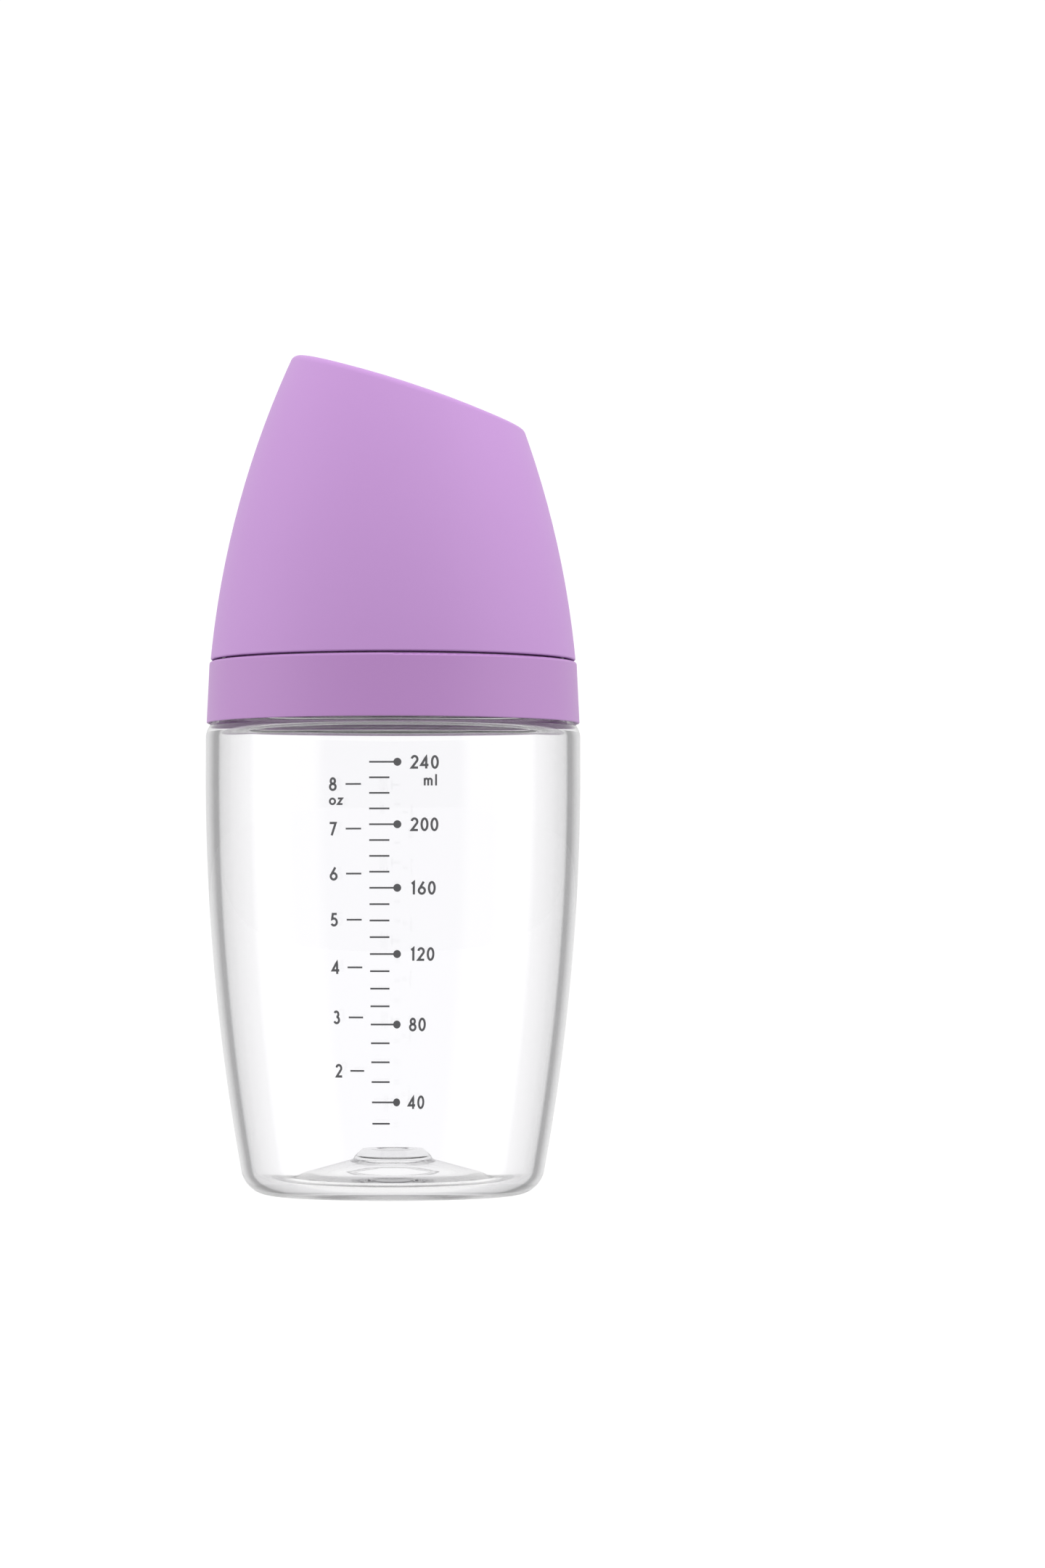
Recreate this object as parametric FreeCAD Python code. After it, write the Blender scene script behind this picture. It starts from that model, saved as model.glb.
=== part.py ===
import FreeCAD, Part
import math
import os

# 240 ml baby bottle, millimetres. +Z is up, the origin is the middle of the base.
# Every piece is turned about the Z axis; the cap alone is cut off at a slant.
# Half sections are drawn in (radius, height) and revolved.

V = FreeCAD.Vector
AXIS = V(0, 0, 1)
CENTRE = V(0, 0, 0)

# --- driving dimensions -----------------------------------------------------
RUN_GAP = 0.35            # least play between pieces that move past each other
FIT_GAP = 0.4             # play where the collar stands over the bottle
EDGE = 0.3                # rounding of a plain moulded edge
SOFT_EDGE = 0.4           # rounding of an edge in silicone and of inside corners

# bottle
BODY_R = 35.76            # widest outside radius
BODY_WIDEST_Z = 80.0      # height of the widest ring
BODY_ARC = 417.0          # radius of the side's long curve
WALL = 2.4
SIDE_LOW_Z = 7.0          # the side curve runs from here ...
SIDE_TOP_Z = 83.0         # ... to here
SHOULDER_Z = 91.2         # flat that faces the collar
SHOULDER_ROUND = 4.5
MOUTH_ROUND = 1.5         # inside edge where the shoulder turns up into the neck
BASE_ROUND = 5.4
CORNER_ROUND = 3.2        # inside corner at the foot of the side
STAND_INNER_R = 22.0      # inner edge of the ring that the bottle stands on
STAND_ROUND = 1.5
NECK_R = 29.3
NECK_FOOT_ROUND = 1.0
NECK_WALL = 2.0
RIM_Z = 109.4
RIM_ROUND = 0.6

# pushed-up bottom with the moulding hub
FLOOR_T = 2.3
DOME_FOOT_R = 19.7
DOME_FOOT_ROUND = 1.0
DOME_HAUNCH = (17.6, 4.05)
HAUNCH_ROUND = 8.0
DOME_TOP_Z = 6.8
HUB_R = 7.6
HUB_SHOULDER = (7.2, 7.5)
HUB_TOP_R = 5.8
HUB_TOP_Z = 8.8
DIMPLE_R = 3.5
DIMPLE_DEPTH = 0.8
RECESS_R = 5.4            # shallow round recess under the hub
RECESS_Z = 5.2

# screw thread between the neck and the ring
LEAD = 5.0
NECK_TURNS = 1.5
RING_TURNS = 1.0
THREAD_START_Z = 94.6     # middle of the neck thread at its lower end
THREAD_START_TURN = 20.0  # degrees from +X to where both threads begin
NECK_CREST_R = 30.6
NECK_RIDGE = (2.4, 1.2)   # width of the neck's ridge at its root and at its crest
RING_CREST_R = 29.95
RING_RIDGE = (1.9, 0.9)
RING_BORE_R = 31.2
THREAD_DROP = 1.7         # the ring's thread hangs this far under the neck's
THREAD_SINK = 0.25        # how far a ridge is sunk into its wall

# glossy ring that holds the nipple
RING_BOTTOM_Z = SHOULDER_Z + FIT_GAP
RING_SEAT_R = 32.9        # the sleeve sits on this
GROOVE_R = 32.3
RING_EDGE_R = 33.15       # lower edge of the part that shows
RING_EDGE_Z = 102.2
RING_EDGE_SLOPE = 0.1     # how much higher that edge is on the outside
GROOVE_ROUND = 0.2
RING_TOP_R = 31.9
RING_TOP_Z = 111.0
CROWN_MIDDLE = (29.0, 113.35)
LIP_R = 24.8
LIP_Z = 115.15
HOLE_R = 24.3
HOLE_LOW_Z = 113.3        # under this the hole opens in a cone ...
CLAMP_R = 26.8            # ... out to this radius
RING_UNDER_Z = 111.4      # underside of the lip, where it clamps the nipple
NARROW_BORE_R = 30.2
NARROW_BORE_Z = 104.2

# matte sleeve round the foot of the ring
SLEEVE_LOW_Z = 89.6
SLEEVE_LOW_R = 35.6
SLEEVE_LOW_ROUND = 0.2
SLEEVE_TOP_R = 35.05
SLEEVE_TOP_Z = 101.3
SLEEVE_TOP_ROUND = 0.5
SLEEVE_LIP = 1.1          # height of the snap lip in the ring's groove

# nipple
TIP_Z = 152.9
TIP_FLAT_R = 1.9
TEAT_R = 6.75
TEAT_Z = 147.1            # where the rounded tip meets the teat's side
FLARE = [(7.4, 142.4), (9.25, 137.2), (12.4, 132.0), (17.6, 126.8), (22.5, 122.8), (24.8, 119.7)]
SKIRT_R = 25.3
SKIRT_Z = 117.6
SKIRT_FOOT_Z = 115.65
SKIRT_FOOT_ROUND = 0.6
NIPPLE_GROOVE_R = 23.9
GROOVE_LOW_Z = 112.9      # under this the groove opens in a cone ...
FLANGE_INNER_R = 26.5     # ... out to this radius
FLANGE_R = 29.6
FLANGE_TOP_Z = RING_UNDER_Z - RUN_GAP
FLANGE_T = 1.3
SPIGOT_R = 26.8           # lip that locates the flange inside the neck
SPIGOT_T = 1.4
SPIGOT_Z = 108.0
SKIRT_WALL = 1.8
TEAT_WALL = 1.4
WALL_STEP_Z = 135.0       # the wall thins above this height
FEED_HOLE_R = 0.4
RIB_COUNT = 6
RIB_WIDTH = 1.2
RIB_HEIGHT = 0.5
RIB_SINK = 0.1            # how far a rib is sunk into the wall
SPACE_R = 20.0            # lower radius of the space cut out of the teat
FLARE_RUN_ON = 1.0        # how far the flare's line runs on, straight, when it is moved inwards
LONG_RIB = (135.6, 146.0)
SHORT_RIB = (138.9, 144.7)

# cap
CAP_R = 35.63
CAP_WIDEST_Z = 85.0
CAP_ARC = 179.0
CAP_WALL = 1.3
CAP_BOTTOM_Z = SLEEVE_TOP_Z + RUN_GAP
CAP_BLANK_Z = 175.0       # height of the cap before its top is cut off
CAP_TOP_Z = 154.1         # height of the slanted top's plane on the axis
CAP_SLANT = 17.2          # degrees
CAP_TURN = -5.0           # degrees from +X to the low side
CAP_CROWN = 1.2           # how far the slanted top bulges
CAP_CROWN_R = 190.0       # radius of that bulge
CAP_ROUND = 1.5           # rounding of the slanted rim outside ...
CAP_INSIDE_ROUND = 0.85   # ... and inside
CAP_HOLLOW_START = 1.0    # the hollow starts this far under the cap, so that it opens
TOUCH = 0.01              # edges this close to a plane lie on it


# --- outlines ----------------------------------------------------------------
def at(r, z):
    return V(r, 0, z)


def line(a, b):
    return Part.LineSegment(at(*a), at(*b)).toShape()


def arc(a, middle, b):
    return Part.Arc(at(*a), at(*middle), at(*b)).toShape()


def rounded(points):
    """Straight runs between (r, z, rounding) points, with an arc at each rounded point."""
    edges = []
    last = at(*points[0][:2])
    for before, here, after in zip(points, points[1:], points[2:]):
        corner = at(*here[:2])
        back = (at(*before[:2]) - corner).normalize()
        ahead = (at(*after[:2]) - corner).normalize()
        if here[2] == 0:
            edges.append(Part.LineSegment(last, corner).toShape())
            last = corner
            continue
        half = back.getAngle(ahead) / 2
        reach = here[2] / math.tan(half)
        start = corner + back * reach
        end = corner + ahead * reach
        bisector = (back + ahead).normalize()
        middle = corner + bisector * (here[2] / math.sin(half) - here[2])
        if (start - last).Length > 1e-6:
            edges.append(Part.LineSegment(last, start).toShape())
        edges.append(Part.Arc(start, middle, end).toShape())
        last = end
    edges.append(Part.LineSegment(last, at(*points[-1][:2])).toShape())
    return edges


def turned(edges):
    """The solid that a closed half section sweeps round the axis."""
    wire = Part.Wire(Part.sortEdges(edges)[0])
    return Part.Face(wire).revolve(CENTRE, AXIS, 360)


def bulge(z, widest, widest_z, radius):
    """Radius at height z of a side that is one long arc."""
    return widest - radius + math.sqrt(radius ** 2 - (z - widest_z) ** 2)


def side_arc(low, high, widest, widest_z, radius):
    middle = (low + high) / 2
    ends = [(bulge(z, widest, widest_z, radius), z) for z in (low, middle, high)]
    return arc(*ends), ends[0], ends[2]


# --- thread ------------------------------------------------------------------
def thread(start_z, turns, root_r, crest_r, ridge_widths):
    """A ridge of trapezium section wound up a right-hand helix."""
    root_w, crest_w = ridge_widths
    sink = math.copysign(THREAD_SINK, crest_r - root_r)
    spine = Part.makeHelix(LEAD, LEAD * turns, root_r)
    section = Part.makePolygon([
        at(root_r - sink, -root_w / 2), at(crest_r, -crest_w / 2),
        at(crest_r, crest_w / 2), at(root_r - sink, root_w / 2),
        at(root_r - sink, -root_w / 2)])
    ridge = Part.Wire(spine).makePipeShell([section], True, True)
    ridge.rotate(CENTRE, AXIS, THREAD_START_TURN)
    ridge.translate(V(0, 0, start_z))
    return ridge


# --- bottle --------------------------------------------------------------------
def bottle_body():
    outside, low_out, top_out = side_arc(SIDE_LOW_Z, SIDE_TOP_Z, BODY_R, BODY_WIDEST_Z, BODY_ARC)
    inside, low_in, top_in = side_arc(SIDE_LOW_Z, SIDE_TOP_Z - WALL, BODY_R - WALL, BODY_WIDEST_Z, BODY_ARC)
    lean = (BODY_WIDEST_Z - SIDE_LOW_Z) / BODY_ARC
    hub_under_z = DOME_TOP_Z - FLOOR_T
    under = rounded([
        (0, RECESS_Z, 0), (RECESS_R, RECESS_Z, EDGE), (RECESS_R, hub_under_z, EDGE),
        (HUB_R, hub_under_z, STAND_ROUND), (STAND_INNER_R, 0, STAND_ROUND),
        (low_out[0] - lean * low_out[1], 0, BASE_ROUND), (*low_out, 0)])
    neck_in = NECK_R - NECK_WALL
    ceiling = SHOULDER_Z - WALL
    top = rounded([
        (*top_out, 0), (BODY_R, SHOULDER_Z, SHOULDER_ROUND), (NECK_R, SHOULDER_Z, NECK_FOOT_ROUND),
        (NECK_R, RIM_Z, RIM_ROUND), (neck_in, RIM_Z, RIM_ROUND), (neck_in, ceiling, MOUTH_ROUND),
        (BODY_R - WALL, ceiling, SHOULDER_ROUND - WALL), (*top_in, 0)])
    floor = rounded([
        (*low_in, 0), (low_in[0] - lean * (SIDE_LOW_Z - FLOOR_T), FLOOR_T, CORNER_ROUND),
        (DOME_FOOT_R, FLOOR_T, DOME_FOOT_ROUND), (*DOME_HAUNCH, HAUNCH_ROUND),
        (HUB_R, DOME_TOP_Z, SOFT_EDGE), (*HUB_SHOULDER, EDGE),
        (HUB_TOP_R, HUB_TOP_Z, SOFT_EDGE), (DIMPLE_R, HUB_TOP_Z, 0)])
    ball = (DIMPLE_R ** 2 + DIMPLE_DEPTH ** 2) / (2 * DIMPLE_DEPTH)
    bottom = HUB_TOP_Z - DIMPLE_DEPTH
    dimple = arc((DIMPLE_R, HUB_TOP_Z),
                 (DIMPLE_R / 2, bottom + ball - math.sqrt(ball ** 2 - DIMPLE_R ** 2 / 4)), (0, bottom))
    middle = line((0, bottom), (0, RECESS_Z))
    body = turned(under + [outside] + top + [inside] + floor + [dimple, middle])
    ridge = thread(THREAD_START_Z, NECK_TURNS, NECK_R, NECK_CREST_R, NECK_RIDGE)
    return body.fuse(ridge)


# --- collar ----------------------------------------------------------------------
def nipple_ring():
    lip_low = SLEEVE_TOP_Z - SLEEVE_LIP
    outside = rounded([
        (RING_BORE_R, RING_BOTTOM_Z, 0), (RING_SEAT_R, RING_BOTTOM_Z, EDGE),
        (RING_SEAT_R, lip_low, 0), (GROOVE_R, lip_low, 0),
        (GROOVE_R, RING_EDGE_Z - RING_EDGE_SLOPE, GROOVE_ROUND), (RING_EDGE_R, RING_EDGE_Z, EDGE),
        (RING_TOP_R, RING_TOP_Z, 0)])
    crown = arc((RING_TOP_R, RING_TOP_Z), CROWN_MIDDLE, (LIP_R, LIP_Z))
    inside = rounded([
        (LIP_R, LIP_Z, 0), (HOLE_R, LIP_Z, EDGE), (HOLE_R, HOLE_LOW_Z, SOFT_EDGE),
        (CLAMP_R, RING_UNDER_Z, 0), (NARROW_BORE_R, RING_UNDER_Z, EDGE),
        (NARROW_BORE_R, NARROW_BORE_Z, 0), (RING_BORE_R, NARROW_BORE_Z, 0),
        (RING_BORE_R, RING_BOTTOM_Z, 0)])
    ring = turned(outside + [crown] + inside)
    ridge = thread(THREAD_START_Z - THREAD_DROP, RING_TURNS, RING_BORE_R, RING_CREST_R, RING_RIDGE)
    return ring.fuse(ridge)


def over_shoulder(turn):
    """A point over the bottle's rounded shoulder, turned by radians from level."""
    reach = SHOULDER_ROUND + FIT_GAP
    return (BODY_R - SHOULDER_ROUND + reach * math.cos(turn), SHOULDER_Z - SHOULDER_ROUND + reach * math.sin(turn))


def collar_sleeve():
    """Its lower edge reaches down over the shoulder, so its inside follows that rounding."""
    reach = SHOULDER_ROUND + FIT_GAP
    low = math.asin((SLEEVE_LOW_Z - SHOULDER_Z + SHOULDER_ROUND) / reach)
    high = math.acos((RING_SEAT_R - BODY_R + SHOULDER_ROUND) / reach)
    hollow = arc(over_shoulder(high), over_shoulder((low + high) / 2), over_shoulder(low))
    lip_low = SLEEVE_TOP_Z - SLEEVE_LIP
    section = rounded([
        (*over_shoulder(low), 0), (SLEEVE_LOW_R, SLEEVE_LOW_Z, SLEEVE_LOW_ROUND),
        (SLEEVE_TOP_R, SLEEVE_TOP_Z, SLEEVE_TOP_ROUND), (GROOVE_R, SLEEVE_TOP_Z, 0), (GROOVE_R, lip_low, 0),
        (RING_SEAT_R, lip_low, 0), (*over_shoulder(high), 0)])
    return turned([hollow] + section)


# --- nipple ----------------------------------------------------------------------
def inset(points, depth):
    """The same run of (r, z) points, moved inwards at right angles to the run."""
    moved = []
    for n, (r, z) in enumerate(points):
        before = points[max(n - 1, 0)]
        after = points[min(n + 1, len(points) - 1)]
        run = math.hypot(after[0] - before[0], after[1] - before[1])
        moved.append((r + depth * (after[1] - before[1]) / run, z - depth * (after[0] - before[0]) / run))
    return moved


def flare(depth):
    """Curve of the teat's side and the skirt, from the tip's edge down to the widest ring."""
    above = [(TEAT_R, TEAT_Z + FLARE_RUN_ON), (TEAT_R, TEAT_Z)]
    below = [(SKIRT_R, SKIRT_Z), (SKIRT_R, SKIRT_Z - FLARE_RUN_ON)]
    run = inset(above + FLARE + below, depth)[1:-1]
    curve = Part.BSplineCurve()
    curve.interpolate(Points=[at(*p) for p in run], InitialTangent=V(0, 0, -1), FinalTangent=V(0, 0, -1))
    return curve.toShape(), run[0], run[-1]


def tip(depth, from_point):
    """Rounded end of the teat: a flat disc and a quarter of an ellipse, here as one arc."""
    height = TIP_Z - depth
    radius = from_point[0]
    flat = TIP_FLAT_R * radius / TEAT_R
    across = radius - flat
    rise = height - from_point[1]
    middle = (flat + across * math.cos(math.radians(45)), from_point[1] + rise * math.sin(math.radians(45)))
    return [arc((flat, height), middle, from_point), line((0, height), (flat, height))]


def teat_space(depth, low_z, low_r):
    """Solid inside the nipple's surface, at a depth, down to low_z."""
    curve, top, foot = flare(depth)
    close = rounded([(*foot, 0), (low_r, SKIRT_FOOT_Z, SKIRT_FOOT_ROUND), (low_r, low_z, 0), (0, low_z, 0)])
    return turned([curve] + tip(depth, top) + close + [line((0, low_z), (0, TIP_Z - depth))])


def block(low, high):
    size = 4 * SKIRT_R
    return Part.makeBox(size, size, high - low, V(-size / 2, -size / 2, low))


def nipple_ribs():
    """Ribs up the inside of the teat, long and short ones in turn."""
    root = teat_space(TEAT_WALL - RIB_SINK, SPIGOT_Z, SPACE_R)
    band = root.cut(teat_space(TEAT_WALL + RIB_HEIGHT, SPIGOT_Z, SPACE_R))
    ribs = []
    for n in range(RIB_COUNT):
        low, high = SHORT_RIB if n % 2 else LONG_RIB
        plate = Part.makeBox(SKIRT_R, RIB_WIDTH, high - low, V(0, -RIB_WIDTH / 2, low))
        plate.rotate(CENTRE, AXIS, 360 * n / RIB_COUNT)
        ribs.append(band.common(plate))
    return ribs


def nipple():
    outer = teat_space(0, FLANGE_TOP_Z, NIPPLE_GROOVE_R)
    low = FLANGE_TOP_Z - FLANGE_T
    flange = turned(rounded([
        (0, low, 0), (0, GROOVE_LOW_Z, 0), (NIPPLE_GROOVE_R, GROOVE_LOW_Z, 0),
        (FLANGE_INNER_R, FLANGE_TOP_Z, SOFT_EDGE), (FLANGE_R, FLANGE_TOP_Z, SOFT_EDGE),
        (FLANGE_R, low, SOFT_EDGE), (SPIGOT_R, low, EDGE), (SPIGOT_R, SPIGOT_Z, SOFT_EDGE),
        (SPIGOT_R - SPIGOT_T, SPIGOT_Z, SOFT_EDGE), (SPIGOT_R - SPIGOT_T, low, 0), (0, low, 0)]))
    thick = teat_space(SKIRT_WALL, SPIGOT_Z, NIPPLE_GROOVE_R - SKIRT_WALL).common(block(SPIGOT_Z, WALL_STEP_Z))
    thin = teat_space(TEAT_WALL, SPIGOT_Z, SPACE_R).common(block(WALL_STEP_Z, TIP_Z))
    hole = Part.makeCylinder(FEED_HOLE_R, 4 * TEAT_WALL, V(0, 0, TIP_Z - 3 * TEAT_WALL))
    shell = outer.fuse(flange).cut(thick).cut(thin).fuse(nipple_ribs())
    return shell.cut(hole)


# --- cap ---------------------------------------------------------------------------
def cap_form(depth, low_z):
    """The cap's outside, or the space inside it when depth is the wall."""
    side, foot, head = side_arc(low_z, CAP_BLANK_Z, CAP_R - depth, CAP_WIDEST_Z, CAP_ARC - depth)
    ends = [line(foot, (0, low_z)), line((0, low_z), (0, CAP_BLANK_Z)), line((0, CAP_BLANK_Z), head)]
    blank = turned([side] + ends)
    slanted = FreeCAD.Rotation(AXIS, CAP_TURN).multVec(FreeCAD.Rotation(V(0, 1, 0), CAP_SLANT).multVec(AXIS))
    radius = CAP_CROWN_R - depth
    centre = V(0, 0, CAP_TOP_Z) + slanted * (CAP_CROWN - CAP_CROWN_R)
    crown = Part.makeSphere(radius, centre)
    crown.rotate(centre, AXIS, 180)    # turns its seam away from the cap
    form = blank.common(crown)
    rim = [edge for edge in form.Edges if edge.BoundBox.ZMin > low_z + TOUCH]
    return form.makeFillet(CAP_INSIDE_ROUND if depth else CAP_ROUND, rim)


def cap():
    shell = cap_form(0, CAP_BOTTOM_Z).cut(cap_form(CAP_WALL, CAP_BOTTOM_Z - CAP_HOLLOW_START))
    foot = [edge for edge in shell.Edges if edge.BoundBox.ZMax < CAP_BOTTOM_Z + TOUCH]
    return shell.makeFillet(EDGE, foot)


# --- export --------------------------------------------------------------------------
def one_solid(shape):
    """The single clean solid of a result, or a stop if there are more."""
    shape = shape.removeSplitter()
    if len(shape.Solids) != 1 or not shape.isValid():
        raise RuntimeError("expected one valid solid, got %d" % len(shape.Solids))
    return shape.Solids[0]


PIECES = {
    "bottle_body": bottle_body,
    "nipple": nipple,
    "nipple_ring": nipple_ring,
    "collar_sleeve": collar_sleeve,
    "cap": cap,
}

os.makedirs("parts", exist_ok=True)
for name, make in PIECES.items():
    solid = one_solid(make())
    solid.exportStep("parts/%s.step" % name)
    box = solid.optimalBoundingBox()
    print("%-14s %9.1f mm3  r %.2f  z %.2f to %.2f" % (name, solid.Volume, box.XMax, box.ZMin, box.ZMax))
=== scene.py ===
"""Looks of a 240 ml baby bottle: clear bottle, silicone nipple, lavender collar and cap."""
import math

import bmesh
import bpy
import numpy as np
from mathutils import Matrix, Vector


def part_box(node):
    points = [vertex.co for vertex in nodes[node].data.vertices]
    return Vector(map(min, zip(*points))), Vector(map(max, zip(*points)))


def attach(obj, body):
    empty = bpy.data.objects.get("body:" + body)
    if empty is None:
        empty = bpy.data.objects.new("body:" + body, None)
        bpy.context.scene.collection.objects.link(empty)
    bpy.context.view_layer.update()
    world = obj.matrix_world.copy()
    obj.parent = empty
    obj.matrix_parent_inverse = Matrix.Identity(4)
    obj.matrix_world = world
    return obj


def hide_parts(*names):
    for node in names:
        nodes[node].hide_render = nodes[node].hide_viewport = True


MM = 0.001
SEGMENTS = 288            # steps round a turned piece
ARC_STEP = math.radians(7.5)

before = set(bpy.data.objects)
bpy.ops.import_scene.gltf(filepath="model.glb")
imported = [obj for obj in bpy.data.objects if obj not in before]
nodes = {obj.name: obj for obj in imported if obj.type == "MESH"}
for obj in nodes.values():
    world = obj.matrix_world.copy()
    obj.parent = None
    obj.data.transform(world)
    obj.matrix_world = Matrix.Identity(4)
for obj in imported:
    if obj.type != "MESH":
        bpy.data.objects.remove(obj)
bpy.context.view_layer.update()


# --- sizes, in millimetres ----------------------------------------------------
def top_of(node):
    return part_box(node)[1].z / MM


def radius_of(node):
    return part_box(node)[1].x / MM


EDGE = 0.3
SOFT_EDGE = 0.4
BODY_R = radius_of("bottle_body")
BODY_WIDEST_Z = 80.0
BODY_ARC = 417.0
WALL = 2.4
SIDE_LOW_Z = 7.0
SIDE_TOP_Z = 83.0
SHOULDER_Z = 91.2
SHOULDER_ROUND = 4.5
MOUTH_ROUND = 1.5
BASE_ROUND = 5.4
CORNER_ROUND = 3.2
STAND_INNER_R = 22.0
STAND_ROUND = 1.5
NECK_R = 29.3
NECK_FOOT_ROUND = 1.0
NECK_WALL = 2.0
RIM_Z = top_of("bottle_body")
RIM_ROUND = 0.6
FLOOR_T = 2.3
DOME_FOOT_R = 19.7
DOME_FOOT_ROUND = 1.0
DOME_HAUNCH = (17.6, 4.05)
HAUNCH_ROUND = 8.0
DOME_TOP_Z = 6.8
HUB_R = 7.6
HUB_SHOULDER = (7.2, 7.5)
HUB_TOP_R = 5.8
HUB_TOP_Z = 8.8
DIMPLE_R = 3.5
DIMPLE_DEPTH = 0.8
RECESS_R = 5.4
RECESS_Z = 5.2
THREAD_LEAD = 5.0
THREAD_TURNS = 1.5
THREAD_START_Z = 94.6
THREAD_START_TURN = math.radians(20)
THREAD_HEIGHT = 1.3
THREAD_ROOT_W = 2.4
THREAD_CREST_W = 1.2
THREAD_RUN_OUT = 1 / 60   # the ridge fades away over this part of a turn at its ends
PLAIN_NECK = 1.1          # no ridge this close above the shoulder
NECK_STEP = 0.2           # distance between the rings up the neck
OUTLINE_STEP = 2.0        # longest straight run elsewhere

TIP_Z = top_of("nipple")
TIP_FLAT_R = 1.9
TEAT_R = 6.75
TEAT_Z = 147.1
FLARE = [(7.4, 142.4), (9.25, 137.2), (12.4, 132.0), (17.6, 126.8), (22.5, 122.8), (24.8, 119.7)]
SKIRT_R = 25.3
SKIRT_Z = 117.6
SKIRT_FOOT_Z = 115.65
SKIRT_FOOT_IN = 0.15      # the skirt draws in by this towards its foot ...
SKIRT_FOOT_UP = 0.3       # ... and its edge sits this much higher
SKIRT_FOOT_ROUND = 0.9
NIPPLE_GROOVE_R = 23.9
GROOVE_LOW_Z = 112.9
FLANGE_R = radius_of("nipple")
FLANGE_TOP_Z = 111.05
FLANGE_T = 1.3
FLANGE_INNER_R = 26.5
SPIGOT_R = 26.8
SPIGOT_T = 1.4
SPIGOT_Z = 108.0
FLANGE_EDGE = 0.5
INSIDE_ROUND = 0.8        # inside corners of the skirt and the spigot
SKIRT_WALL = 1.8
TEAT_WALL = 1.4
FLARE_RUN_ON = 1.0        # how far the teat's side runs on, straight, past both of its ends
CLEAR_ABOVE_Z = 134.0     # the teat is clear above this height, frosted below
WALL_STEP = (0.6, 1.0)    # the wall thins between these distances above that height
FEED_HOLE_R = 0.4
HOLE_FLARE = (0.1, 0.08)  # widening of the feed hole at the tip, and its depth
RIB_COUNT = 6
RIB_WIDTH = 1.2
RIB_HEIGHT = 0.5
RIB_END = 0.5             # a rib rises over this length at its ends ...
RIB_FLANK = 0.25          # ... and over this part of its half width at its sides
LONG_RIB = (135.6, 146.0)
SHORT_RIB = (138.9, 144.7)


# --- turned meshes --------------------------------------------------------------
def bulge(z, widest, widest_z, radius):
    """Radius at height z of a side that is one long arc."""
    return widest - radius + math.sqrt(radius ** 2 - (z - widest_z) ** 2)


def rounded(points):
    """Points of straight runs between (r, z, rounding) points, with an arc at each rounded one."""
    made = [Vector(points[0][:2])]
    for before, here, after in zip(points, points[1:], points[2:]):
        corner = Vector(here[:2])
        back = (Vector(before[:2]) - corner).normalized()
        ahead = (Vector(after[:2]) - corner).normalized()
        half = back.angle(ahead) / 2
        if here[2] == 0:
            made.append(corner)
            continue
        centre = corner + (back + ahead).normalized() * (here[2] / math.sin(half))
        start = corner + back * (here[2] / math.tan(half)) - centre
        end = corner + ahead * (here[2] / math.tan(half)) - centre
        turn = math.pi - 2 * half
        steps = max(2, math.ceil(turn / ARC_STEP))
        for n in range(steps + 1):
            done = turn * n / steps
            made.append(centre + (start * math.sin(turn - done) + end * math.sin(done)) / math.sin(turn))
    made.append(Vector(points[-1][:2]))
    return made


def split(outline, longest):
    """The outline with its long runs divided."""
    made = [outline[0]]
    for a, b in zip(outline, outline[1:]):
        steps = max(1, math.ceil((b - a).length / longest))
        made += [a.lerp(b, n / steps) for n in range(1, steps + 1)]
    return made


def lathe(name, outline, radius_at=None):
    """A closed smooth mesh turned from an outline that starts and ends on the axis or on itself."""
    closed = (outline[0] - outline[-1]).length < 1e-6
    if closed:
        outline = outline[:-1]
    mesh = bmesh.new()
    rings = []
    for p in outline:
        if p.x < 1e-6:
            rings.append([mesh.verts.new((0, 0, p.y * MM))])
            continue
        ring = []
        for n in range(SEGMENTS):
            a = 2 * math.pi * n / SEGMENTS
            r = (radius_at(p, a) if radius_at else p.x) * MM
            ring.append(mesh.verts.new((r * math.cos(a), r * math.sin(a), p.y * MM)))
        rings.append(ring)
    pairs = list(zip(rings, rings[1:]))
    if closed:
        pairs.append((rings[-1], rings[0]))
    for low, high in pairs:
        for n in range(SEGMENTS):
            m = (n + 1) % SEGMENTS
            if len(low) == 1 and len(high) == 1:
                continue
            if len(low) == 1:
                mesh.faces.new((low[0], high[n], high[m]))
            elif len(high) == 1:
                mesh.faces.new((low[n], high[0], low[m]))
            else:
                mesh.faces.new((low[n], high[n], high[m], low[m]))
    bmesh.ops.recalc_face_normals(mesh, faces=mesh.faces)
    data = bpy.data.meshes.new(name)
    mesh.to_mesh(data)
    mesh.free()
    for face in data.polygons:
        face.use_smooth = True
    piece = bpy.data.objects.new(name, data)
    bpy.context.scene.collection.objects.link(piece)
    return piece


# --- clear bottle ------------------------------------------------------------------
def side_run(low, high, widest, radius, count=24):
    heights = [low + (high - low) * n / count for n in range(count + 1)]
    return [Vector((bulge(z, widest, BODY_WIDEST_Z, radius), z)) for z in heights]


def thread_radius(point, angle):
    """Radius of the neck with its screw ridge added."""
    if abs(point.x - NECK_R) > 1e-4 or point.y < SHOULDER_Z + PLAIN_NECK:
        return point.x
    ridge = 0
    for turn in range(math.ceil(THREAD_TURNS) + 1):
        along = (angle - THREAD_START_TURN) / (2 * math.pi) + turn
        off = abs(point.y - THREAD_START_Z - THREAD_LEAD * along)
        slope = (THREAD_ROOT_W / 2 - off) / ((THREAD_ROOT_W - THREAD_CREST_W) / 2)
        ends = min(along, THREAD_TURNS - along) / THREAD_RUN_OUT
        ridge = max(ridge, min(1, slope, ends))
    return point.x + THREAD_HEIGHT * ridge


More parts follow.
